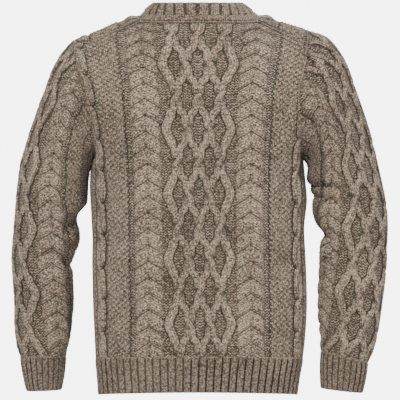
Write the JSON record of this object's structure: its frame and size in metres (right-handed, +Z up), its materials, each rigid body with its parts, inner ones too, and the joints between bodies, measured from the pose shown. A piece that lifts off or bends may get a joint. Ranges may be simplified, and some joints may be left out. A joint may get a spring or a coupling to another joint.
{
  "type": "cable knit pullover sweater",
  "caption": "Heavy crew neck pullover with a cable lattice, twisted ropes and ribbed neckband, hem and cuffs, filled out as worn and open at neck, hem and cuffs.",
  "frame": {"origin": "middle of the body at the height of the back neck seam, where the wearer's shoulders carry the sweater", "axes": "+Z up, +X towards the wearer's right, the back faces -Y and the front +Y"},
  "size_m": [0.6764, 0.2502, 0.7068],
  "materials": {
    "wool_body": "heathered taupe wool, cable knit",
    "wool_sleeve": "heathered taupe wool, cable knit",
    "wool_rib": "heathered taupe wool, rib knit"
  },
  "bodies": {
    "root": {"back_panel": "wool_body", "front_panel": "wool_body", "sleeve_left": "wool_sleeve", "sleeve_right": "wool_sleeve", "neckband": "wool_rib", "hem_rib_back": "wool_rib", "hem_rib_front": "wool_rib", "cuff_left": "wool_rib", "cuff_right": "wool_rib"}
  },
  "joints": []
}
